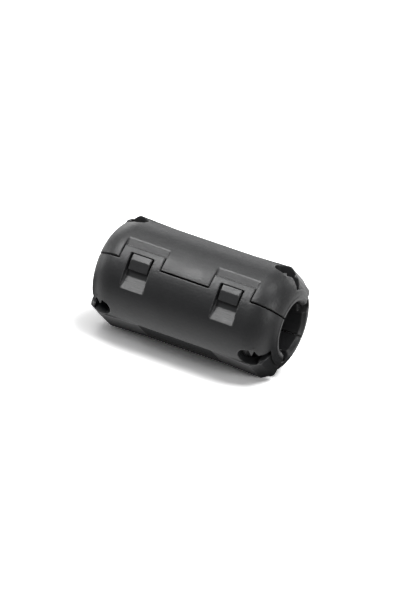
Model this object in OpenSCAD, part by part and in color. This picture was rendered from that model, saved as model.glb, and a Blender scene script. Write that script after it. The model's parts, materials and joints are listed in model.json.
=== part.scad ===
// Clip-on ferrite bead: a split cylindrical ferrite core in a snap-together plastic case.
// X runs along the cable and the origin is the middle of the cable bore. Each part is drawn
// with the parting plane level, the latches towards -Y and the film hinge towards +Y, and is
// then rolled about the cable by seat_roll, which lifts the latches.

/* [Case] */
// Outside diameter of the closed case
case_d = 19.5; // [19:0.1:21]
// Length over both rounded ends
case_l = 36; // [34:0.5:40]
// Radius that rounds each end
end_r = 5; // [4.6:0.1:5]
// Wall thickness of both shells
wall = 1.5; // [1.4:0.05:1.6]
// Gap between the edges of the two shells
parting_gap = 0.24; // [0.1:0.02:0.3]
// Angle by which the latch side is lifted about the cable
seat_roll = 35; // [0:1:45]

/* [Cable passage] */
// Largest cable that the case takes
cable_d = 9; // [8:0.1:9.4]
// Wall of the collar around the cable at each end
collar_wall = 1.1; // [0.8:0.1:1.3]
// Lead-in chamfer at the mouth of the bore
mouth_chamfer = 0.55; // [0.3:0.05:0.7]

/* [Ferrite core] */
// Outside diameter of the core
core_d = 16.4; // [16:0.1:16.4]
// Hole through the core
core_bore_d = 9.6; // [9.4:0.1:11]
// Length of the core
core_l = 27.4; // [24:0.2:27.6]
// Chamfer on the core's outer edges
core_chamfer = 0.5; // [0.2:0.1:0.8]
// Air gap between the ground faces of the two halves
core_gap = 0.04; // [0.02:0.01:0.1]

/* [Latches] */
// Distance between the middles of the two latches
latch_pitch = 17.5; // [16:0.1:18.5]
// Width of a loop over both legs
loop_w = 7.9; // [7:0.1:8.4]
// Height of a loop above the parting plane
loop_h = 2.56; // [2.2:0.02:2.8]
// Height of the bar across the top of a loop
bar_h = 1.1; // [0.9:0.05:1.3]
// Width of the window in a loop
window_w = 4.5; // [4:0.1:4.6]
// Depth, at the parting plane, of the flat recess that a loop lies in
recess_depth = 0.88; // [0.8:0.01:0.9]
// Clearance between a loop and the recess around it
latch_clearance = 0.12; // [0.08:0.01:0.2]
// Gap between the catch edge of a hook and the bar that it holds
catch_gap = 0.04; // [0.02:0.01:0.12]
// Width of a hook
hook_w = 3.7; // [3:0.1:3.8]
// Reach of a hook below the parting plane
hook_drop = 1.4; // [1:0.05:1.6]
// Height of the flat land behind the catch edge
hook_land_h = 1.12; // [0.6:0.02:1.2]
// Distance from the parting plane to the foot of the pocket below a loop
pocket_drop = 4.85; // [4:0.05:5]
// Distance from the parting plane to the crease where the pocket is deepest
pocket_crease = 2.3; // [2:0.1:2.6]

/* [End windows] */
// Angle from the middle of a shell to each window in its ends
window_angle = 30; // [28:1:31]
// Width of an end window
end_window_w = 2.9; // [2.4:0.1:3.1]
// Distance from the end of the case to the inner end of a window
end_window_reach = 5.5; // [5:0.1:6]
// Distance from the end of the case to the outer end of a window
end_window_margin = 2; // [1.8:0.1:2.4]
// Width of the channel from a window to the slit behind the tip of the tongue
channel_w = 0.95; // [0.6:0.05:1.1]
// Length of the tooth that hangs in each window
tooth_l = 1.4; // [1:0.05:1.6]
// Width of the tooth at its root
tooth_w = 1.2; // [0.8:0.1:1.4]

/* [Spring tongues] */
// Depth of a tongue's flat top below the crest of the case, where it is highest
pad_depth = 0.4; // [0.3:0.02:0.5]
// Width of the flat top
pad_w = 7.2; // [7:0.05:7.2]
// Distance from the end of the case to the end of the flat top
pad_margin = 3.2; // [3:0.1:3.6]
// Drop of the long bevel at the end of a tongue of the lower shell
lower_bevel = 1; // [0.8:0.05:1.4]
// Drop of the long bevel at the end of a tongue of the upper shell
upper_bevel = 1.5; // [0.8:0.05:1.6]
// Distance from the end of the case to the slit behind a tongue's tip
slit_margin = 0.8; // [0.7:0.05:0.9]
// Gap between a tongue and the collar
tongue_gap = 0.3; // [0.2:0.05:0.4]

/* [Label flats] */
// Depth of the flat on each shell
flat_depth = 0.7; // [0.3:0.05:0.75]
// Length of the bottom of each flat
flat_l = 14.4; // [12:0.2:18]

/* [Film hinge] */
// Distance from the cable to the hinge line
hinge_r = 9.1; // [9:0.05:9.2]
// Thickness of the film
film_t = 0.34; // [0.25:0.01:0.4]
// Length of the film along the case
film_l = 20; // [10:1:24]
// Largest angle between the open shells
lid_opening = 110; // [80:1:120]

/* [Hidden] */
$fn = 96;

case_r = case_d / 2;
half_l = case_l / 2;
cavity_r = case_r - wall;
cable_r = cable_d / 2;
collar_r = cable_r + collar_wall;
collar_start = core_l / 2 + 0.1;
slit_half_angle = window_angle + 4;
recess_y = case_r - recess_depth;
loop_y = recess_y + 0.08;
hook_top = loop_h - bar_h - catch_gap;
hook_r = case_r - 0.08;
flat_z = case_r - flat_depth;
pad_z = case_r - pad_depth;
slit_x = half_l - slit_margin;
film_w = 1.5;
flank_angle = lid_opening / 2 + 1;
cut = 0.5;           // how far a cutter runs past the face that it opens
big = case_l + 10;   // larger than the whole case

// Everything below is placed with this.
module rolled() {
    rotate([-seat_roll, 0, 0]) children();
}

// Turns a flat profile, with the radius along X and the length along Y, about the cable.
module revolved() {
    rotate([0, 90, 0]) rotate_extrude() children();
}

// Profile of a solid bar with both ends rounded by radius f.
module rounded_bar(r, half, f) {
    translate([0, -half]) square([r - f, 2 * half]);
    translate([0, -(half - f)]) square([r, 2 * (half - f)]);
    intersection() {
        for (s = [-1, 1]) translate([r - f, s * (half - f)]) circle(f);
        translate([r - f, -half]) square([f, 2 * half]);
    }
}

// Draws its children at both ends of the case.
module both_ends() {
    children();
    mirror([1, 0, 0]) children();
}

// Draws its children at both latches.
module both_latches() {
    for (s = [-1, 1]) translate([s * latch_pitch / 2, 0, 0]) children();
}

// Draws its children on both sides of the middle of a shell.
module both_sides() {
    children();
    mirror([0, 1, 0]) children();
}

// A flat outline in Y and Z, pulled w long and centred on X.
module pulled(w) {
    rotate([90, 0, 90]) linear_extrude(w, center = true) children();
}

// The space above the parting plane, less half of the gap g.
module above(g) {
    translate([-big / 2, -big / 2, g / 2]) cube([big, big, big]);
}

// The wedge on both sides of the middle of the upper shell.
module middle_wedge(half_angle) {
    reach = 2 * case_r;
    pulled(big) polygon([[0, 0], [reach * tan(half_angle), reach], [-reach * tan(half_angle), reach]]);
}

// Block with upright sides that gives each tongue its flat top. It starts below the label flat.
module tongue_block() {
    x0 = flat_l / 2 - 0.5;
    translate([x0, -pad_w / 2, 0]) cube([slit_x - x0, pad_w, case_r]);
}

// What is cut off above the label flat, the tops of the tongues, which rise gently from the flat
// to pad_z, and the bevels at their ends.
module top_trim(bevel) {
    bevel_x = half_l - 1.25;
    bevel_z = pad_z - bevel;
    tip_z = pad_z - 2.35;
    rotate([90, 0, 0]) linear_extrude(case_d, center = true)
        polygon([
            [-cut, flat_z], [flat_l / 2, flat_z],
            [half_l - pad_margin, pad_z], [bevel_x, bevel_z], [slit_x, tip_z],
            [slit_x, case_d], [-cut, case_d]
        ]);
}

// Window beside a tongue, cut along the radius at window_angle from the middle of the shell.
// A channel leads from it to the slit, closer to the tongue than to the case, and the edge on the
// side of the case slants towards the channel.
module end_window() {
    r = end_window_w / 2;
    x0 = half_l - end_window_reach;
    x1 = half_l - end_window_margin;
    channel_y = -0.2;
    slant = 0.7;
    floor_z = collar_r + tongue_gap / 2;
    rotate([window_angle, 0, 0]) translate([0, 0, floor_z])
        linear_extrude(case_r) {
            translate([x0 + r, 0]) circle(r);
            polygon([[x0 + r, -r], [x1 - slant, -r], [x1, channel_y], [x1, r], [x0 + r, r]]);
            translate([x1 - cut, channel_y]) square([slit_x - x1 + cut + tongue_gap, channel_w]);
        }
}

// Tooth that hangs from the edge of a window and keeps the core in.
module window_tooth() {
    x = half_l - pad_margin;
    half_w = tooth_w / 2;
    tip = 0.1;
    foot = cavity_r - 0.8;
    head = case_r - 0.65;
    rotate([window_angle, 0, 0]) translate([x, -end_window_w / 2, foot])
        linear_extrude(head - foot)
            polygon([
                [-half_w, -cut], [half_w, -cut], [half_w, 0], [tip, tooth_l], [-tip, tooth_l], [-half_w, 0]
            ]);
}

// Thin gap that frees the tip of a tongue from the collar.
module tongue_slit() {
    intersection() {
        revolved() {
            translate([collar_r, slit_x]) square([case_r, tongue_gap]);
            translate([collar_r, collar_start]) square([tongue_gap, slit_x - collar_start + tongue_gap]);
        }
        middle_wedge(slit_half_angle);
    }
}

// Notch with round corners in the mouth of the bore, beside the tongue on the hinge side.
module mouth_notch() {
    angle = 25;
    w = 1.9;
    f = 0.45;
    top = cable_r + 1.7;
    depth = 1.6;
    rotate([-angle, 0, 0]) translate([half_l - depth, 0, 0]) rotate([90, 0, 90])
        linear_extrude(depth + cut) {
            translate([-w / 2, cable_r - cut]) square([w, top - f - cable_r + cut]);
            translate([-w / 2 + f, top - f - cut]) square([w - 2 * f, f + cut]);
            for (side = [-1, 1]) translate([side * (w / 2 - f), top - f]) circle(f);
        }
}

// Groove outside the hinge line. Its flanks meet when the case is fully open.
module hinge_groove() {
    reach = 3;
    pulled(big) polygon([
        [hinge_r, 0], [hinge_r + reach, 0],
        [hinge_r + reach, reach * tan(flank_angle)]
    ]);
}

// The strip of film across the parting plane.
module film_strip() {
    translate([-film_l / 2, hinge_r - film_t / 2, -film_w / 2]) cube([film_l, film_t, film_w]);
}

// What both shells share, drawn as the upper one. Its tongues end in a bevel that drops by bevel.
module half_shell(bevel) {
    difference() {
        union() {
            difference() {
                union() {
                    revolved() rounded_bar(case_r, half_l, end_r);
                    both_ends() tongue_block();
                }
                revolved() rounded_bar(cavity_r, half_l - wall, end_r - wall);
            }
            both_ends() revolved() translate([0, collar_start]) square([collar_r, half_l - collar_start]);
        }
        mirror([0, 0, 1]) above(-parting_gap);
        revolved() translate([0, -big / 2]) square([cable_r, big]);
        both_ends() revolved()
            polygon([
                [0, half_l - mouth_chamfer - cable_r], [0, half_l + cut],
                [cable_r + mouth_chamfer + cut, half_l + cut]
            ]);
        both_ends() both_sides() end_window();
        both_ends() tongue_slit();
        both_ends() mouth_notch();
        both_ends() top_trim(bevel);
        hinge_groove();
        film_strip();
    }
    both_ends() both_sides() window_tooth();
}

// Recess in the upper shell that takes a loop. It is open towards the parting plane, and its flat
// floor runs out to the surface above the loop, where a tool can reach under the bar.
module loop_recess() {
    w = loop_w + 2 * latch_clearance;
    translate([-w / 2, -case_r - cut, -cut]) cube([w, recess_depth + cut, case_r]);
}

// Hook that stands in the window of a loop: catch edge, land, then the ramp that spreads the loop.
module hook() {
    y_top = sqrt(hook_r * hook_r - hook_top * hook_top);
    ramp_z = hook_top - hook_land_h;
    root_y = cavity_r + 0.2;
    tail_y = recess_y + 0.1;
    tail_t = 0.2;
    pulled(hook_w) polygon([
        [-root_y, hook_top], [-y_top, hook_top], [-hook_r, ramp_z], [-tail_y - tail_t, -hook_drop],
        [-tail_y, -hook_drop], [-tail_y, parting_gap / 2], [-root_y, parting_gap / 2]
    ]);
}

// Pocket in the lower shell below a loop. It is deepest at a crease below the hook, and from there
// its floor runs out to the surface at the foot.
module hook_pocket() {
    y_foot = sqrt(case_r * case_r - pocket_drop * pocket_drop);
    y_top = cavity_r + 0.4;
    y_crease = cavity_r + 0.1;
    outside = case_r + 1;
    pulled(window_w) polygon([
        [-outside, cut], [-y_top, cut], [-y_top, -pocket_crease / 2], [-y_crease, -pocket_crease],
        [-y_foot, -pocket_drop], [-outside, -pocket_drop]
    ]);
}

// Loop that springs over a hook. Its back is flat and its face follows the case. The window in it
// runs down into the pocket.
module latch_loop() {
    root = 0.8;
    outside = case_r + 1;
    difference() {
        intersection() {
            translate([-loop_w / 2, -outside, -root]) cube([loop_w, outside - loop_y, root + loop_h]);
            rotate([0, 90, 0]) cylinder(r = case_r, h = big, center = true);
        }
        translate([-window_w / 2, -outside, -root - cut])
            cube([window_w, outside, root + cut + loop_h - bar_h]);
    }
}

module lower_shell() {
    color("#2b2c2e") rolled() {
        difference() {
            mirror([0, 0, 1]) half_shell(lower_bevel);
            both_latches() hook_pocket();
        }
        both_latches() latch_loop();
    }
}

module upper_shell() {
    color("#3a3b3d") rolled() {
        difference() {
            half_shell(upper_bevel);
            both_latches() loop_recess();
        }
        both_latches() hook();
    }
}

// Half of the core, drawn as the upper one.
module half_core() {
    r = core_d / 2;
    h = core_l / 2;
    c = core_chamfer;
    b = core_bore_d / 2;
    intersection() {
        revolved() polygon([
            [b, -h + c], [b + c, -h], [r - c, -h], [r, -h + c],
            [r, h - c], [r - c, h], [b + c, h], [b, h - c]
        ]);
        above(core_gap);
    }
}

module lower_core() {
    color("#55565a") rolled() mirror([0, 0, 1]) half_core();
}

module upper_core() {
    color("#5c5d61") rolled() half_core();
}

module film_hinge() {
    color("#333436") rolled() film_strip();
}

lower_shell();
upper_shell();
lower_core();
upper_core();
film_hinge();
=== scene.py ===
# %% [markdown]
# # A clip-on ferrite bead
#
# The bead is two black plastic half shells round a split ferrite cylinder. The shells are joined by a
# film hinge at the back and snap shut at the front: two loops on the lower shell spring over two hooks
# on the upper one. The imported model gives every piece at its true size. This script gives them their
# finish: moulded edges, spark-eroded plastic, ground ferrite, and soft light on a white table.

# %% The frame
import json
import math

import bmesh
import bpy
import numpy as np
from mathutils import Matrix, Vector

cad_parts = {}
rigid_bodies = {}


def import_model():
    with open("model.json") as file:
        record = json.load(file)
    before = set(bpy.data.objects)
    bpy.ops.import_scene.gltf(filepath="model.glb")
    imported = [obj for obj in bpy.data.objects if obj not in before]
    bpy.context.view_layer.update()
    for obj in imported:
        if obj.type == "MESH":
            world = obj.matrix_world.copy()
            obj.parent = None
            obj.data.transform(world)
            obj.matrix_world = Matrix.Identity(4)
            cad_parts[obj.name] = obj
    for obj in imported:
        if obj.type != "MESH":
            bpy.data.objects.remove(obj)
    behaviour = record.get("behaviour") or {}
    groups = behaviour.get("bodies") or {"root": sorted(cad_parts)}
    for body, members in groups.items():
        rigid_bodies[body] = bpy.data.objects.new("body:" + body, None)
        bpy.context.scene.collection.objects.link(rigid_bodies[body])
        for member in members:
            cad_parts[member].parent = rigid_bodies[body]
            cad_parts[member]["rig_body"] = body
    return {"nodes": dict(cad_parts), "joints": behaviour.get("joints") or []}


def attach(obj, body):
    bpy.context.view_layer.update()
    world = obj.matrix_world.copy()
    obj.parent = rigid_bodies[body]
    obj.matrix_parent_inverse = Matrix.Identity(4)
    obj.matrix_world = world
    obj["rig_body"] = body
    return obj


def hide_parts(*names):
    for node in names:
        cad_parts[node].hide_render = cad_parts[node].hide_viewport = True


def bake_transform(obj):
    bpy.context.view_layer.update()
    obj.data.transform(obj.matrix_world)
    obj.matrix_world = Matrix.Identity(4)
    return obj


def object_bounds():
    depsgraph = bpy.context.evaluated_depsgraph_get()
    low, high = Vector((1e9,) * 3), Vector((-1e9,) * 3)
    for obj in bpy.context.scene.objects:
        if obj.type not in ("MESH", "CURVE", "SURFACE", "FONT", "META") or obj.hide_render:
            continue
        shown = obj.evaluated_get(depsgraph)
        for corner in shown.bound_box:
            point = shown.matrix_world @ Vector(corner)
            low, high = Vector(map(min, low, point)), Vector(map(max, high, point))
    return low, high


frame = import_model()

cad_low, cad_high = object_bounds()
MM = 0.001
print("pieces:", ", ".join(sorted(frame["nodes"])))
print("box in mm:", [round(side / MM, 2) for side in cad_high - cad_low])

# %% [markdown]
# ## The bead's own directions
#
# The bead is turned about the cable, so that its latches look up at the viewer. Many rules below are
# simple in the bead's own directions: x along the cable, y towards the film hinge and z towards the lid.
# The place of the hinge in the record gives the turn.

# %% Directions of the bead
hinge_line = Vector(frame["joints"][0]["pos_m"])
seat_roll = -math.atan2(hinge_line.z, hinge_line.y)
to_world = Matrix.Rotation(-seat_roll, 4, "X")
to_bead = to_world.inverted()
case_radius = cad_high.z
hinge_radius = (to_bead @ hinge_line).y
print(f"turned by {math.degrees(seat_roll):.1f} degrees, hinge {hinge_radius / MM:.2f} mm from the cable")

# %% [markdown]
# ## Camera
#
# A product shot of a small part is taken from a step away with a long lens, so that its sides stay
# nearly parallel. The view looks down on the latches and along the bead from its right end.

# %% Camera
camera_distance = 1.0
view_azimuth, view_elevation, view_roll = math.radians(23.98), math.radians(22.08), math.radians(9.58)
frame_height_px = 600
px_per_mm = 5.806
aim = Vector((0, 0, -0.7 * MM))

towards = Vector((
    math.sin(view_azimuth) * math.cos(view_elevation),
    -math.cos(view_azimuth) * math.cos(view_elevation),
    math.sin(view_elevation),
))
camera = bpy.data.objects.new("camera", bpy.data.cameras.new("camera"))
bpy.context.scene.collection.objects.link(camera)
camera.location = aim + towards * camera_distance
level = towards.to_track_quat("Z", "Y").to_matrix().to_4x4()
camera.rotation_euler = (level @ Matrix.Rotation(view_roll, 4, "Z")).to_euler()
focal_px = px_per_mm / MM * camera_distance
# The sensor's width spans the longer side of the picture, which is its height.
camera.data.lens = focal_px * camera.data.sensor_width / frame_height_px
camera.data.clip_end = 20
bpy.context.scene.camera = camera
print(f"lens {camera.data.lens:.0f} mm")

# %% [markdown]
# ## Table
#
# The table is white and runs out of the picture on all sides. It is brighter to the camera than to the
# bead, so that it comes out white while the reflections that it leaves in the black plastic stay low. To
# the bead the table is a painted glow: bright close in front and behind, with a painted shadow where the
# bead stands, and fading out further to the front.

# %% Shader helpers
def add_node(tree, kind, inputs=None, **settings):
    """Adds a node. Each input is a number, a colour or the socket that it is linked to."""
    made = tree.nodes.new(kind)
    for name, value in settings.items():
        setattr(made, name, value)
    for key, value in (inputs or {}).items():
        if isinstance(value, bpy.types.NodeSocket):
            tree.links.new(value, made.inputs[key])
        else:
            made.inputs[key].default_value = value
    return made


def new_material(name):
    """An empty material with its output node."""
    material = bpy.data.materials.new(name)
    material.use_nodes = True
    material.node_tree.nodes.clear()
    output = add_node(material.node_tree, "ShaderNodeOutputMaterial")
    return material, material.node_tree, output


print("helpers:", add_node.__name__, new_material.__name__)

# %% Glow of the table
glow_power = 1.33
# How bright the table's painted glow is to the bead: pairs of a place across the table, in mm, and a
# share. The low steps from -5 to 8 mm are a painted shadow under the bead.
glow_steps = [
    (-80, 0.04), (-45, 0.07), (-32, 0.2), (-18, 0.6), (-12, 0.85), (-9, 1.0), (-7, 0.8), (-5, 0.03),
    (8, 0.03), (14, 0.7), (40, 0.8),
]


def glow_of_the_table(tree):
    """The table's painted glow towards the bead, by the place across it, with a painted shadow where the
    bead stands.
    """
    near, far = glow_steps[0][0] * MM, glow_steps[-1][0] * MM
    place = add_node(tree, "ShaderNodeTexCoord").outputs["Object"]
    across = add_node(tree, "ShaderNodeSeparateXYZ", {0: place}).outputs["Y"]
    share = add_node(tree, "ShaderNodeMapRange", {"Value": across, "From Min": near, "From Max": far})
    ramp = add_node(tree, "ShaderNodeValToRGB", {0: share.outputs[0]})
    stops = ramp.color_ramp.elements
    while len(stops) < len(glow_steps):
        stops.new(1.0)
    for stop, (at, tone) in zip(stops, glow_steps):
        stop.position = (at * MM - near) / (far - near)
        stop.color = (tone, tone, tone, 1)
    return add_node(tree, "ShaderNodeEmission", {"Color": ramp.outputs[0], "Strength": glow_power})


print("brightest glow at y =", max(glow_steps, key=lambda step: step[1])[0], "mm")

# %% Table
table_size = 6.0
table_to_camera = (1.7, 1.7, 1.7, 1)


def table_material():
    """White from above and clear from below, so that the underside of the bead can be seen too."""
    material, tree, output = new_material("white_table")
    path = add_node(tree, "ShaderNodeLightPath")
    shown = add_node(tree, "ShaderNodeBsdfDiffuse", {"Color": table_to_camera})
    glow = glow_of_the_table(tree)
    white = add_node(tree, "ShaderNodeMixShader", {0: path.outputs["Is Camera Ray"], 1: glow.outputs[0],
                                                   2: shown.outputs[0]})
    clear = add_node(tree, "ShaderNodeBsdfTransparent")
    facing = add_node(tree, "ShaderNodeNewGeometry")
    mixed = add_node(tree, "ShaderNodeMixShader", {0: facing.outputs["Backfacing"], 1: white.outputs[0],
                                                   2: clear.outputs[0]})
    tree.links.new(mixed.outputs[0], output.inputs["Surface"])
    return material


def plate_mesh(name, size, height):
    """One square face that looks up."""
    half = size / 2
    mesh = bpy.data.meshes.new(name)
    corners = [(-half, -half, height), (half, -half, height), (half, half, height), (-half, half, height)]
    mesh.from_pydata(corners, [], [(0, 1, 2, 3)])
    return mesh


table = bpy.data.objects.new("table", plate_mesh("table", table_size, cad_low.z))
table.data.materials.append(table_material())
bpy.context.scene.collection.objects.link(table)
print(f"table at {cad_low.z / MM:.2f} mm")

# %% [markdown]
# ## Light
#
# Nine soft boxes stand round the bead. The main one, high in front on the left, draws a band of light
# along the latches and lets the lower shell fall off into the dark. Two from above, two low at the sides
# and three behind draw the shoulders, the domed ends and the far edges. The ninth lights only the table,
# from behind on the right, so that the bead's shadow falls softly to the front. Light linking lets the
# main one and the one behind on the right light the bead alone, so they throw no shadow on the table.

# %% What a light may fall on
bead_only = bpy.data.collections.new("bead_only")
bead_only.objects.link(table)
bead_only.collection_objects[0].light_linking.link_state = "EXCLUDE"
table_only = bpy.data.collections.new("table_only")
table_only.objects.link(table)
print("light groups:", bead_only.name, table_only.name)

# %% Soft box
box_distance = 0.8
box_size = 0.3


def soft_light(name, azimuth, elevation, power, distance=box_distance, size=box_size, lights=None):
    """A square soft box that looks at the bead, and lights all of the scene or one of its parts."""
    lamp = bpy.data.lights.new(name, "AREA")
    lamp.shape = "SQUARE"
    lamp.size = size
    lamp.energy = power
    a, e = math.radians(azimuth), math.radians(elevation)
    place = Vector((math.sin(a) * math.cos(e), -math.cos(a) * math.cos(e), math.sin(e))) * distance
    holder = bpy.data.objects.new(name, lamp)
    bpy.context.scene.collection.objects.link(holder)
    holder.location = place
    holder.rotation_euler = place.to_track_quat("Z", "Y").to_euler()
    holder.light_linking.receiver_collection = lights
    holder.visible_camera = False


print(f"boxes of {box_size} m at {box_distance} m")

# %% World
world_to_camera = 1.2
world_to_bead = 0.19


def world_light():
    """A white world for the camera, and a dimmer one as a source of light."""
    world = bpy.data.worlds.new("studio")
    world.use_nodes = True
    tree = world.node_tree
    tree.nodes.clear()
    path = add_node(tree, "ShaderNodeLightPath")
    shown = add_node(tree, "ShaderNodeBackground", {"Color": (1, 1, 1, 1), "Strength": world_to_camera})
    dim = add_node(tree, "ShaderNodeBackground", {"Color": (1, 1, 1, 1), "Strength": world_to_bead})
    mixed = add_node(tree, "ShaderNodeMixShader", {0: path.outputs["Is Camera Ray"], 1: dim.outputs[0],
                                                   2: shown.outputs[0]})
    add_node(tree, "ShaderNodeOutputWorld", {"Surface": mixed.outputs[0]})
    return world


bpy.context.scene.world = world_light()
bpy.context.scene.view_settings.view_transform = "Standard"
print("world:", bpy.context.scene.world.name)

# %% Lights
soft_light("main", azimuth=-50, elevation=54, power=4.15, lights=bead_only)
soft_light("table_wash", azimuth=125, elevation=66, power=5.0, size=0.55, lights=table_only)
soft_light("top", azimuth=-110, elevation=70, power=0.9)
soft_light("top_right", azimuth=90, elevation=70, power=1.3)
soft_light("right", azimuth=75, elevation=24, power=1.5)
soft_light("left", azimuth=-88, elevation=10, power=1.0)
soft_light("back_left", azimuth=-135, elevation=22, power=1.4, size=0.45)
soft_light("back", azimuth=-165, elevation=22, power=0.35)
soft_light("back_right", azimuth=168, elevation=16, power=0.9, distance=0.6, lights=bead_only)

# %% [markdown]
# ## Shells with moulded edges
#
# A mould is never quite sharp: every edge of a plastic part is rounded by a tenth of a millimetre, and
# that is what catches the light. A Bevel modifier could round the edges, but on cut surfaces its strips
# run into each other. Instead the shell is wrapped in a fine voxel skin, which is relaxed a little and
# then thinned where it is flat. Edges, corners and cuts all come out evenly rounded.

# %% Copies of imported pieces
sewing_distance = 0.002 * MM


def sewn_copy(node, name):
    """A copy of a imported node, with its loose triangles sewn together."""
    mesh = frame["nodes"][node].data.copy()
    mesh.materials.clear()
    sewn = bmesh.new()
    sewn.from_mesh(mesh)
    bmesh.ops.remove_doubles(sewn, verts=sewn.verts, dist=sewing_distance)
    sewn.to_mesh(mesh)
    sewn.free()
    piece = bpy.data.objects.new(name, mesh)
    bpy.context.scene.collection.objects.link(piece)
    return piece


def settle_modifiers(piece):
    """Turns what the modifiers show into the piece's own mesh."""
    graph = bpy.context.evaluated_depsgraph_get()
    mesh = bpy.data.meshes.new_from_object(piece.evaluated_get(graph))
    piece.modifiers.clear()
    piece.data = mesh
    mesh.shade_smooth()
    return piece


print(f"corners closer than {sewing_distance / MM} mm are sewn together")

# %% Moulded copies
shell_voxel = 0.1 * MM
shell_triangles = 190_000
relax_rounds = 7
relax_factor = 0.5


def moulded_copy(node, name, voxel, most_triangles):
    """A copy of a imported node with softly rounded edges, in its place and on its body."""
    piece = sewn_copy(node, name)
    skin = piece.modifiers.new("skin", "REMESH")
    skin.mode = "VOXEL"
    skin.voxel_size = voxel
    relax = piece.modifiers.new("relax", "SMOOTH")
    relax.factor = relax_factor
    relax.iterations = relax_rounds
    settle_modifiers(piece)
    triangles = 2 * len(piece.data.polygons)
    thin = piece.modifiers.new("thin", "DECIMATE")
    thin.ratio = min(1, most_triangles / triangles)
    settle_modifiers(piece)
    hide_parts(node)
    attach(piece, frame["nodes"][node]["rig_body"])
    print(f"{name}: {len(piece.data.polygons)} faces")
    return piece


lower_case = moulded_copy("lower_shell", "lower_case", shell_voxel, shell_triangles)
upper_case = moulded_copy("upper_shell", "upper_case", shell_voxel, shell_triangles)

# %% [markdown]
# ## Ferrite halves
#
# Ferrite is pressed and fired, and its edges crumble a little. The same skin gives them that softness. A
# half cylinder is a plainer shape than a shell, so its voxels may be larger.

# %% Ferrite halves
ferrite_voxel = 0.13 * MM
ferrite_triangles = 60_000
lower_half = moulded_copy("lower_core", "lower_half", ferrite_voxel, ferrite_triangles)
upper_half = moulded_copy("upper_core", "upper_half", ferrite_voxel, ferrite_triangles)

# %% [markdown]
# ## A map of edges and hollows
#
# Hands and tools polish the edges of plastic, and dust stays in its inner corners. Both follow from the
# shape: a point that stands proud of the mean of its neighbours is on an edge, and one that lies below
# it is in a corner. The height above the mean is kept on the mesh as an attribute, which every renderer
# can read, instead of a node that only some have.

# %% Relief map
relief_rounds = 14
# The height above or below the mean that counts as a full edge or corner
relief_full = 0.12 * MM


def neighbour_mean(points, ends_a, ends_b, count):
    """The mean place of each vertex's neighbours."""
    ends = np.concatenate([ends_a, ends_b])
    others = np.concatenate([ends_b, ends_a])
    degree = np.maximum(np.bincount(ends, minlength=count), 1)
    sums = [np.bincount(ends, weights=points[others, axis], minlength=count) for axis in range(3)]
    return np.stack(sums, axis=1) / degree[:, None]


def mark_relief(piece):
    """Writes the attribute relief: 1 on an edge, 0 on a smooth face and -1 in an inner corner."""
    mesh = piece.data
    count = len(mesh.vertices)
    points = np.empty(count * 3)
    mesh.vertices.foreach_get("co", points)
    points = points.reshape(-1, 3)
    normals = np.empty(count * 3)
    mesh.vertex_normals.foreach_get("vector", normals)
    normals = normals.reshape(-1, 3)
    ends = np.empty(len(mesh.edges) * 2, dtype=int)
    mesh.edges.foreach_get("vertices", ends)
    ends_a, ends_b = ends[0::2], ends[1::2]
    mean = points
    for _ in range(relief_rounds):
        mean = neighbour_mean(mean, ends_a, ends_b, count)
    height = ((points - mean) * normals).sum(axis=1) / relief_full
    attribute = mesh.attributes.new("relief", "FLOAT", "POINT")
    attribute.data.foreach_set("value", np.clip(height, -1, 1).astype(np.float32))
    print(f"{piece.name}: {np.mean(height > 0.5):.0%} edge, {np.mean(height < -0.5):.0%} corner")


for piece in (lower_case, upper_case, lower_half, upper_half):
    mark_relief(piece)

# %% [markdown]
# ## Where the mould was cut by a tool
#
# Most of the mould was eroded by sparks, but the flat floors behind and below the latches, the lands of
# the hooks and the ramps of the end tongues were milled, so they are smoother and show the marks of the
# cutter. On the ramps the lighter tone of a milled face is also a painted highlight, the reflection of
# the white table. The label flats were polished, and their darker colour is a painted shade. Each of
# these faces lies in a known plane of the bead, so a rule on place and direction marks it, to within a
# few hundredths of a millimetre, because the skin isn't exact. The same rule finds the ground faces of
# the ferrite.

# %% Places on a piece
latch_pitch = 17.5 * MM


def bead_places(piece):
    """Places and directions of the vertices in the bead's own directions, and the distance in x to the
    middle of the nearer latch."""
    count = len(piece.data.vertices)
    points, normals = np.empty(count * 3), np.empty(count * 3)
    piece.data.vertices.foreach_get("co", points)
    piece.data.vertex_normals.foreach_get("vector", normals)
    turn = np.array(to_bead.to_3x3())
    points, normals = points.reshape(-1, 3) @ turn.T, normals.reshape(-1, 3) @ turn.T
    return points, normals, np.abs(np.abs(points[:, 0]) - latch_pitch / 2)


def write_map(piece, name, mask):
    """Keeps a mask of the vertices as an attribute."""
    attribute = piece.data.attributes.new(name, "FLOAT", "POINT")
    attribute.data.foreach_set("value", mask.astype(np.float32))
    print(f"{piece.name} {name}: {np.mean(mask):.1%}")


print(f"latches {latch_pitch / MM} mm apart")

# %% Finish of the shells
# Where the faces lie, in the bead's own directions
recess_half_width, pocket_half_width, hook_half_width = 4.1 * MM, 2.2 * MM, 1.8 * MM
recess_y, pocket_top = -8.87 * MM, -2.4 * MM
land_foot, land_head, land_sink = 0.35 * MM, 1.42 * MM, 0.04 * MM
flat_z, flat_length = 9.05 * MM, 14.4 * MM
# How near the plane of its face a point of the skin lies
close = 0.03 * MM
# How squarely a face looks along its direction: the cosine of the angle between them
front_facing, ramp_facing, flat_facing = 0.9, 0.97, 0.997
# How strongly the cutter shows on the lands and the ramps. On the ramps the lighter tone is also a
# painted highlight.
land_share, ramp_cutter_and_highlight_share = 0.55, 0.8


def level_flat(piece, points, flat):
    """Puts the marked vertices exactly into the plane of the label flat."""
    points = points.copy()
    points[flat, 2] = np.sign(points[flat, 2]) * flat_z
    world = points @ np.array(to_world.to_3x3()).T
    piece.data.vertices.foreach_set("co", world.ravel())
    piece.data.update()


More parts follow.
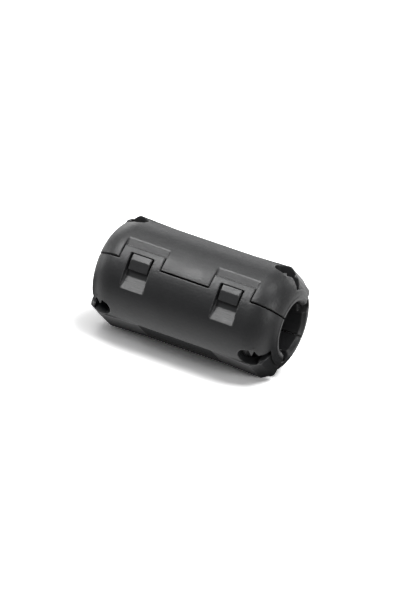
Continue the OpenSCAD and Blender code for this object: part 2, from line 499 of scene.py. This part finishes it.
def mark_finish(piece):
    """Writes the attributes milled and polished of a shell, and levels its label flat."""
    points, normals, off_latch = bead_places(piece)
    y, z, radius = points[:, 1], points[:, 2], np.hypot(points[:, 1], points[:, 2])
    outward = normals[:, 1] < -front_facing
    recess = outward & (np.abs(y - recess_y) < 2 * close) & (z > 0) & (off_latch < recess_half_width)
    pocket = outward & (z < pocket_top) & (radius < case_radius - close) & (off_latch < pocket_half_width)
    land = outward & (z > land_foot) & (z < land_head) & (off_latch < hook_half_width)
    land &= (radius < case_radius - land_sink) & (piece.name == "upper_case")
    middle = np.abs(points[:, 0]) < flat_length / 2
    # On the tongue ramps the milled mark is also a painted highlight: their lighter tone stands for the
    # reflection of the white table.
    ramp = (np.abs(normals[:, 2]) > ramp_facing) & (np.abs(z) > flat_z - close) & ~middle
    milled = np.maximum(recess | pocket, land * land_share)
    write_map(piece, "milled", np.maximum(milled, ramp * ramp_cutter_and_highlight_share))
    flat = (np.abs(normals[:, 2]) > flat_facing) & (np.abs(np.abs(z) - flat_z) < close) & middle
    write_map(piece, "polished", flat)
    level_flat(piece, points, flat)


for piece in (lower_case, upper_case):
    mark_finish(piece)

# %% Ground faces of the ferrite
ground_facing = 0.98


def mark_ground(piece):
    """Writes the attribute milled of a ferrite half: its ground mating faces."""
    points, normals, _ = bead_places(piece)
    write_map(piece, "milled", (np.abs(normals[:, 2]) > ground_facing) & (np.abs(points[:, 2]) < 2 * close))


for piece in (lower_half, upper_half):
    mark_ground(piece)

# %% [markdown]
# ## Shared effects
#
# Each effect below is a node group, because more than one material uses it with its own values.

# %% Group helpers
def new_group(name, inputs, outputs):
    """A shader node group with named inputs, each with its start value, and named outputs."""
    group = bpy.data.node_groups.new(name, "ShaderNodeTree")
    for label, kind, value in inputs:
        socket = group.interface.new_socket(label, in_out="INPUT", socket_type=kind)
        if value is not None:
            socket.default_value = value
    for label, kind in outputs:
        group.interface.new_socket(label, in_out="OUTPUT", socket_type=kind)
    start = add_node(group, "NodeGroupInput")
    end = add_node(group, "NodeGroupOutput")
    return group, start, end


def use_group(tree, group, inputs):
    """Places a group in a material."""
    return add_node(tree, "ShaderNodeGroup", inputs, node_tree=group)


def math_node(tree, operation, first, second=0.0):
    """One step of arithmetic. It returns the result's socket."""
    made = add_node(tree, "ShaderNodeMath", {0: first, 1: second}, operation=operation)
    return made.outputs[0]


def part_of(tree, mask, share):
    """A mask turned down to a share of its strength."""
    return math_node(tree, "MULTIPLY", mask, share)


def ramp_between(tree, value, low, high):
    """0 where the value is at low, 1 at high, with soft ends."""
    made = add_node(tree, "ShaderNodeMapRange", {"Value": value, "From Min": low, "From Max": high},
                    interpolation_type="SMOOTHSTEP")
    return made.outputs["Result"]


def blend_colours(tree, factor, first, second):
    """Mixes two colours."""
    made = add_node(tree, "ShaderNodeMix", data_type="RGBA")
    for key, value in ((0, factor), (6, first), (7, second)):
        if isinstance(value, bpy.types.NodeSocket):
            tree.links.new(value, made.inputs[key])
        else:
            made.inputs[key].default_value = value
    return made.outputs[2]


print("helpers:", new_group.__name__, use_group.__name__, blend_colours.__name__)

# %% [markdown]
# **Grain.** The mould was cut by sparks, which leave a carpet of tiny craters. Two layers of noise give
# the height: fine craters, and a broader unevenness under them.

# %% Grain
broad_share, swell_height = 0.28, 0.9


def grain_group():
    """The height of the eroded surface."""
    group, start, end = new_group(
        "grain",
        [("Vector", "NodeSocketVector", None), ("Size", "NodeSocketFloat", 0.2 * MM)],
        [("Height", "NodeSocketFloat")],
    )
    scale = math_node(group, "DIVIDE", 1.0, start.outputs["Size"])
    fine = add_node(group, "ShaderNodeTexNoise", {"Vector": start.outputs["Vector"], "Scale": scale,
                                                  "Detail": 3.0, "Roughness": 0.62})
    broad_scale = math_node(group, "MULTIPLY", scale, broad_share)
    broad = add_node(group, "ShaderNodeTexNoise", {"Vector": start.outputs["Vector"], "Scale": broad_scale,
                                                   "Detail": 2.0})
    swell = math_node(group, "MULTIPLY", broad.outputs["Fac"], swell_height)
    total = math_node(group, "ADD", fine.outputs["Fac"], swell)
    group.links.new(total, end.inputs["Height"])
    return group


grain = grain_group()
print("group:", grain.name)

# %% [markdown]
# **Handling.** Fingers leave smudges a few millimetres wide that are a little shinier, and the surface
# has fine scratches that run mostly round the bead.

# %% Handling
# Stretched noise gives the scratches: it changes fast along the bead and slowly round it
scratch_turn, scratch_stretch = (0.3, 0.15, 0.4), (9000.0, 500.0, 700.0)
scratch_patches_per_metre = 260.0


def handling_group():
    """Masks of the smudges and of the fine scratches."""
    group, start, end = new_group(
        "handling",
        [("Vector", "NodeSocketVector", None), ("Smudge size", "NodeSocketFloat", 4 * MM)],
        [("Smudge", "NodeSocketFloat"), ("Scratch", "NodeSocketFloat")],
    )
    scale = math_node(group, "DIVIDE", 1.0, start.outputs["Smudge size"])
    smudge = add_node(group, "ShaderNodeTexNoise", {"Vector": start.outputs["Vector"], "Scale": scale,
                                                    "Detail": 4.0, "Roughness": 0.6, "Distortion": 0.6})
    smudge_mask = ramp_between(group, smudge.outputs["Fac"], 0.4, 0.72)
    stretched = add_node(group, "ShaderNodeMapping", {"Vector": start.outputs["Vector"],
                                                      "Rotation": scratch_turn,
                                                      "Scale": scratch_stretch})
    lines = add_node(group, "ShaderNodeTexNoise", {"Vector": stretched.outputs[0], "Scale": 1.0,
                                                   "Detail": 1.0})
    where = add_node(group, "ShaderNodeTexNoise", {"Vector": start.outputs["Vector"],
                                                   "Scale": scratch_patches_per_metre})
    thin = ramp_between(group, lines.outputs["Fac"], 0.70, 0.78)
    patches = ramp_between(group, where.outputs["Fac"], 0.5, 0.66)
    scratch = math_node(group, "MULTIPLY", thin, patches)
    group.links.new(smudge_mask, end.inputs["Smudge"])
    group.links.new(scratch, end.inputs["Scratch"])
    return group


handling = handling_group()
print("group:", handling.name)

# %% [markdown]
# **Wear.** The relief map says where an edge is. Noise breaks it up, so that an edge is worn here and
# fresh there, and dust lies unevenly in the corners.

# %% Wear
def wear_group():
    """Masks of the worn edges and of the dusty corners."""
    group, start, end = new_group(
        "wear",
        [("Vector", "NodeSocketVector", None), ("Patch size", "NodeSocketFloat", 1.2 * MM)],
        [("Edge", "NodeSocketFloat"), ("Corner", "NodeSocketFloat")],
    )
    relief = add_node(group, "ShaderNodeAttribute", attribute_name="relief")
    scale = math_node(group, "DIVIDE", 1.0, start.outputs["Patch size"])
    noise = add_node(group, "ShaderNodeTexNoise", {"Vector": start.outputs["Vector"], "Scale": scale,
                                                   "Detail": 4.0, "Roughness": 0.65})
    broken = ramp_between(group, noise.outputs["Fac"], 0.36, 0.64)
    edge = ramp_between(group, relief.outputs["Fac"], 0.35, 0.95)
    sunk = math_node(group, "MULTIPLY", relief.outputs["Fac"], -1.0)
    corner = ramp_between(group, sunk, 0.3, 0.9)
    group.links.new(math_node(group, "MULTIPLY", edge, broken), end.inputs["Edge"])
    group.links.new(math_node(group, "MULTIPLY", corner, broken), end.inputs["Corner"])
    return group


wear = wear_group()
print("group:", wear.name)

# %% [markdown]
# **Cutter marks.** A cutter or a grinding wheel leaves fine lines along the bead, some deeper than
# others, which fade in and out in patches. The attribute milled says which faces have them.

# %% Cutter marks
line_stretch, patch_share = (0.1, 1.0, 1.0), 0.25


def cutter_group():
    """The height of the cutter's lines, and the mask of the faces that have them."""
    group, start, end = new_group(
        "cutter_marks",
        [("Vector", "NodeSocketVector", None), ("Spacing", "NodeSocketFloat", 0.3 * MM)],
        [("Height", "NodeSocketFloat"), ("Milled", "NodeSocketFloat")],
    )
    stretched = add_node(group, "ShaderNodeMapping", {"Vector": start.outputs["Vector"],
                                                      "Scale": line_stretch})
    scale = math_node(group, "DIVIDE", 1.0, start.outputs["Spacing"])
    lines = add_node(group, "ShaderNodeTexNoise", {"Vector": stretched.outputs[0], "Scale": scale,
                                                   "Detail": 2.0, "Roughness": 0.7})
    milled = add_node(group, "ShaderNodeAttribute", attribute_name="milled")
    patch_scale = math_node(group, "MULTIPLY", scale, patch_share)
    patches = add_node(group, "ShaderNodeTexNoise", {"Vector": start.outputs["Vector"],
                                                     "Scale": patch_scale, "Detail": 3.0})
    share = ramp_between(group, patches.outputs["Fac"], 0.35, 0.65)
    even = math_node(group, "SUBTRACT", lines.outputs["Fac"], 0.5)
    faded = math_node(group, "ADD", math_node(group, "MULTIPLY", even, share), 0.5)
    group.links.new(faded, end.inputs["Height"])
    group.links.new(milled.outputs["Fac"], end.inputs["Milled"])
    return group


cutter = cutter_group()
print("group:", cutter.name)

# %% [markdown]
# ## Black moulded nylon
#
# The plastic is nearly black and matt, with a faint sheen where light grazes it. Both shells have the
# same finish, and the lower shell's colour is a little darker as painted shade. Milled faces are smoother
# and look lighter, and on the tongue ramps the lighter tone is also a painted highlight. The polished
# label flats get a darker colour, a painted shade.

# %% Colour of the plastic
worn_grey = (0.12, 0.12, 0.12, 1)
dust_grey = (0.16, 0.155, 0.15, 1)
# Painted shade: the polished label flats are darkened to stand for the dark reflection of the table under
# the bead.
flat_painted_shade_black = (0.006, 0.006, 0.007, 1)
blotches_per_metre, blotch_lift = 220.0, 1.4
# How much of a milled face is grey between the streaks, and how much more in them
milled_floor, streak_share = 0.5, 0.45
worn_share, scratch_share, dust_share, flat_painted_shade_share = 0.45, 0.25, 0.08, 0.7


def plastic_tone(tree, place, base, milled_tone, marks, worn, cuts, polished):
    """The colour: mottled, lighter where milled, worn or dusty, with a painted highlight on the tongue
    ramps, and darker on the polished flats as painted shade.
    """
    blotch = add_node(tree, "ShaderNodeTexNoise", {"Vector": place, "Scale": blotches_per_metre,
                                                   "Detail": 3.0})
    lighter = tuple(c * blotch_lift for c in base[:3]) + (1,)
    tone = blend_colours(tree, blotch.outputs["Fac"], base, lighter)
    streak = ramp_between(tree, cuts.outputs["Height"], 0.35, 0.65)
    uneven = math_node(tree, "ADD", part_of(tree, streak, streak_share), milled_floor)
    streaked = math_node(tree, "MULTIPLY", cuts.outputs["Milled"], uneven)
    tone = blend_colours(tree, streaked, tone, milled_tone)
    tone = blend_colours(tree, part_of(tree, worn.outputs["Edge"], worn_share), tone, worn_grey)
    tone = blend_colours(tree, part_of(tree, marks.outputs["Scratch"], scratch_share), tone, worn_grey)
    tone = blend_colours(tree, part_of(tree, worn.outputs["Corner"], dust_share), tone, dust_grey)
    # Painted shade on the polished label flats.
    return blend_colours(tree, part_of(tree, polished, flat_painted_shade_share), tone, flat_painted_shade_black)


print("worn edges:", worn_grey[:3])

# %% Relief of the plastic
relief_depth, relief_strength = 0.05 * MM, 0.6
smoothed_share = 0.8


def plastic_bump(tree, craters, cuts, polished):
    """The relief: eroded, but nearly smooth where milled or polished, with lines where milled."""
    smooth = math_node(tree, "MAXIMUM", cuts.outputs["Milled"], polished)
    left = math_node(tree, "SUBTRACT", 1.0, part_of(tree, smooth, smoothed_share))
    eroded = math_node(tree, "MULTIPLY", craters.outputs["Height"], left)
    lined = math_node(tree, "MULTIPLY", cuts.outputs["Height"], cuts.outputs["Milled"])
    height = math_node(tree, "ADD", eroded, lined)
    bump = add_node(tree, "ShaderNodeBump", {"Height": height, "Strength": relief_strength,
                                             "Distance": relief_depth})
    return bump.outputs["Normal"]


print(f"relief {relief_depth / MM} mm deep")

# %% Plastic
eroded_grain, cutter_spacing = 0.2 * MM, 0.22 * MM
plastic_roughness, plastic_ior = 0.41, 1.5
# How much less rough the surface is under each mask
smudge_gloss, worn_gloss, milled_gloss, polished_gloss = 0.06, 0.08, 0.05, 0.14


def plastic_material(name, base, milled_tone):
    """Matt black nylon: base is its colour, and milled_tone that of its milled faces."""
    material, tree, output = new_material(name)
    place = add_node(tree, "ShaderNodeTexCoord").outputs["Object"]
    craters = use_group(tree, grain, {"Vector": place, "Size": eroded_grain})
    marks = use_group(tree, handling, {"Vector": place})
    worn = use_group(tree, wear, {"Vector": place})
    cuts = use_group(tree, cutter, {"Vector": place, "Spacing": cutter_spacing})
    polished = add_node(tree, "ShaderNodeAttribute", attribute_name="polished").outputs["Fac"]
    rough = plastic_roughness
    for mask, gloss in ((marks.outputs["Smudge"], smudge_gloss), (worn.outputs["Edge"], worn_gloss),
                        (cuts.outputs["Milled"], milled_gloss), (polished, polished_gloss)):
        rough = math_node(tree, "SUBTRACT", rough, part_of(tree, mask, gloss))
    surface = add_node(tree, "ShaderNodeBsdfPrincipled", {
        "Base Color": plastic_tone(tree, place, base, milled_tone, marks, worn, cuts, polished),
        "Roughness": rough, "Normal": plastic_bump(tree, craters, cuts, polished),
        "IOR": plastic_ior,
    })
    tree.links.new(surface.outputs[0], output.inputs["Surface"])
    return material


# The lower shell's colour is darker than the upper's as painted shade, though both are the same nylon.
upper_lit_black, upper_milled = (0.024, 0.0245, 0.0255, 1), (0.062, 0.062, 0.064, 1)
lower_shaded_black, lower_milled = (0.020, 0.0205, 0.0215, 1), (0.085, 0.085, 0.087, 1)
upper_plastic = plastic_material("nylon_upper", upper_lit_black, upper_milled)
lower_plastic = plastic_material("nylon_lower", lower_shaded_black, lower_milled)
print("plastics:", upper_plastic.name, lower_plastic.name)

# %% [markdown]
# ## Ferrite
#
# Ferrite is a sintered ceramic: dark grey, dull and slightly speckled, with small lighter chips along
# its edges. The mating faces are ground, so they are smoother and shine a little along the grinding
# lines.

# %% Ferrite
pore_size, grinding_spacing, chip_size = 0.1 * MM, 0.16 * MM, 0.5 * MM
ferrite_roughness, ground_gloss, ferrite_ior = 0.58, 0.26, 1.8
speckles_per_metre = 4200.0
ferrite_dark, ferrite_light = (0.022, 0.022, 0.024, 1), (0.042, 0.042, 0.044, 1)
ground_grey = (0.085, 0.086, 0.09, 1)
chip_grey = (0.15, 0.15, 0.152, 1)
ground_share, chip_share = 0.6, 0.7
# Heights in the relief: chips go down, and grinding takes away most of the pores
chip_height, ground_off = -1.4, 0.9
ferrite_relief_depth, ferrite_relief_strength = 0.03 * MM, 0.6


def ferrite_material():
    """Sintered ferrite with ground mating faces and chipped edges."""
    material, tree, output = new_material("sintered_ferrite")
    place = add_node(tree, "ShaderNodeTexCoord").outputs["Object"]
    craters = use_group(tree, grain, {"Vector": place, "Size": pore_size})
    worn = use_group(tree, wear, {"Vector": place, "Patch size": chip_size})
    cuts = use_group(tree, cutter, {"Vector": place, "Spacing": grinding_spacing})
    speckle = add_node(tree, "ShaderNodeTexNoise", {"Vector": place, "Scale": speckles_per_metre,
                                                    "Detail": 3.0, "Roughness": 0.7})
    speckled = ramp_between(tree, speckle.outputs["Fac"], 0.35, 0.7)
    tone = blend_colours(tree, speckled, ferrite_dark, ferrite_light)
    tone = blend_colours(tree, part_of(tree, cuts.outputs["Milled"], ground_share), tone, ground_grey)
    tone = blend_colours(tree, part_of(tree, worn.outputs["Edge"], chip_share), tone, chip_grey)
    smoother = part_of(tree, cuts.outputs["Milled"], ground_gloss)
    rough = math_node(tree, "SUBTRACT", ferrite_roughness, smoother)
    chips = part_of(tree, worn.outputs["Edge"], chip_height)
    lined = math_node(tree, "MULTIPLY", cuts.outputs["Height"], cuts.outputs["Milled"])
    left = math_node(tree, "SUBTRACT", 1.0, part_of(tree, cuts.outputs["Milled"], ground_off))
    pitted = math_node(tree, "MULTIPLY", craters.outputs["Height"], left)
    height = math_node(tree, "ADD", math_node(tree, "ADD", pitted, chips), lined)
    bump = add_node(tree, "ShaderNodeBump", {"Height": height, "Strength": ferrite_relief_strength,
                                             "Distance": ferrite_relief_depth})
    surface = add_node(tree, "ShaderNodeBsdfPrincipled", {
        "Base Color": tone, "Roughness": rough, "Normal": bump.outputs["Normal"], "IOR": ferrite_ior,
    })
    tree.links.new(surface.outputs[0], output.inputs["Surface"])
    return material


ferrite = ferrite_material()
print("ceramic:", ferrite.name)

# %% [markdown]
# ## Film hinge
#
# The hinge is a thin strip that both shells share. In the imported model it is flat and stays with the
# lower shell. Here it is a bar that is thinner along the hinge line. Geometry Nodes draws it from its
# length, width and thickness: a cylinder whose round section is squared off, flattened, and pinched at
# the waist.

# %% Nodes of the hinge strip
strip_sizes = {
    "Length": 20 * MM, "Width": 1.5 * MM, "Thickness": 0.34 * MM, "Waist": 0.3, "Waist width": 0.4 * MM,
}
strip_faces_round, strip_faces_along = 144, 60
strip_roundness = 0.4


def strip_group(material):
    """Geometry nodes of a bar along X that is thinner in the middle of its width."""
    group = bpy.data.node_groups.new("hinge_strip", "GeometryNodeTree")
    for label, value in strip_sizes.items():
        socket = group.interface.new_socket(label, in_out="INPUT", socket_type="NodeSocketFloat")
        socket.default_value = value
    group.interface.new_socket("Geometry", in_out="OUTPUT", socket_type="NodeSocketGeometry")
    given = add_node(group, "NodeGroupInput").outputs
    bar = add_node(group, "GeometryNodeMeshCylinder", {
        "Vertices": strip_faces_round, "Side Segments": strip_faces_along, "Radius": 1.0,
        "Depth": given["Length"],
    })
    position = add_node(group, "GeometryNodeInputPosition")
    old = add_node(group, "ShaderNodeSeparateXYZ", {0: position.outputs[0]})
    half_width = math_node(group, "MULTIPLY", given["Width"], 0.5)
    across = math_node(group, "MULTIPLY", old.outputs["Y"], half_width)
    squared = math_node(group, "POWER", math_node(group, "ABSOLUTE", old.outputs["X"]), strip_roundness)
    side = math_node(group, "MULTIPLY", squared, math_node(group, "SIGN", old.outputs["X"]))
    away = add_node(group, "ShaderNodeMapRange", {
        "Value": math_node(group, "ABSOLUTE", across), "From Min": 0.0, "From Max": given["Waist width"],
        "To Min": given["Waist"], "To Max": 0.0,
    }, interpolation_type="SMOOTHSTEP")
    left = math_node(group, "SUBTRACT", 1.0, away.outputs["Result"])
    half = math_node(group, "MULTIPLY", math_node(group, "MULTIPLY", given["Thickness"], 0.5), left)
    place = add_node(group, "ShaderNodeCombineXYZ", {
        "X": old.outputs["Z"], "Y": math_node(group, "MULTIPLY", side, half), "Z": across,
    })
    shaped = add_node(group, "GeometryNodeSetPosition", {"Geometry": bar.outputs["Mesh"],
                                                         "Position": place.outputs[0]})
    real = add_node(group, "GeometryNodeRealizeInstances", {"Geometry": shaped.outputs[0]})
    dressed = add_node(group, "GeometryNodeSetMaterial", {"Geometry": real.outputs[0], "Material": material})
    add_node(group, "NodeGroupOutput", {"Geometry": dressed.outputs[0]})
    return group


print(f"strip {strip_sizes['Thickness'] / MM} mm thick, {strip_sizes['Waist']:.0%} less at its waist")


def input_identifier(group, label):
    """The identifier of a group's input."""
    for item in group.interface.items_tree:
        if item.item_type == "SOCKET" and item.in_out == "INPUT" and item.name == label:
            return item.identifier
    raise KeyError(label)


def grown(name, group, values):
    """A piece whose mesh is what the geometry nodes make of the values."""
    piece = bpy.data.objects.new(name, bpy.data.meshes.new(name))
    bpy.context.scene.collection.objects.link(piece)
    growth = piece.modifiers.new("growth", "NODES")
    growth.node_group = group
    for label, value in values.items():
        growth[input_identifier(group, label)] = value
    return settle_modifiers(piece)


def hinge_piece(material):
    """The strip in its place along the hinge line."""
    strip = grown("hinge_strip", strip_group(material), strip_sizes)
    strip.data.transform(to_world @ Matrix.Translation((0, hinge_radius, 0)))
    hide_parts("film_hinge")
    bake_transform(strip)
    return strip


hinge_strip = hinge_piece(lower_plastic)
print(f"{hinge_strip.name}: {len(hinge_strip.data.polygons)} faces")

# %% [markdown]
# ## Dressing the pieces
#
# Each new piece gets its material. The packed pieces that these replace stay in the file for the
# collisions. The imported pieces that these replace stay in the file, hidden, so they get the same
# materials.

# %% Everything gets its material
for piece, material, slot in (
    (lower_case, lower_plastic, "lower_plastic"),
    (upper_case, upper_plastic, "upper_plastic"),
    (hinge_strip, lower_plastic, "lower_plastic"),
    (lower_half, ferrite, "ferrite"),
    (upper_half, ferrite, "ferrite"),
):
    piece.data.materials.clear()
    piece.data.materials.append(material)
    print(piece.name, "wears", material.name)

for node, material in (
    ("lower_shell", lower_plastic), ("upper_shell", upper_plastic), ("film_hinge", lower_plastic),
    ("lower_core", ferrite), ("upper_core", ferrite),
):
    cad = frame["nodes"][node]
    cad.data.materials.clear()
    cad.data.materials.append(material)
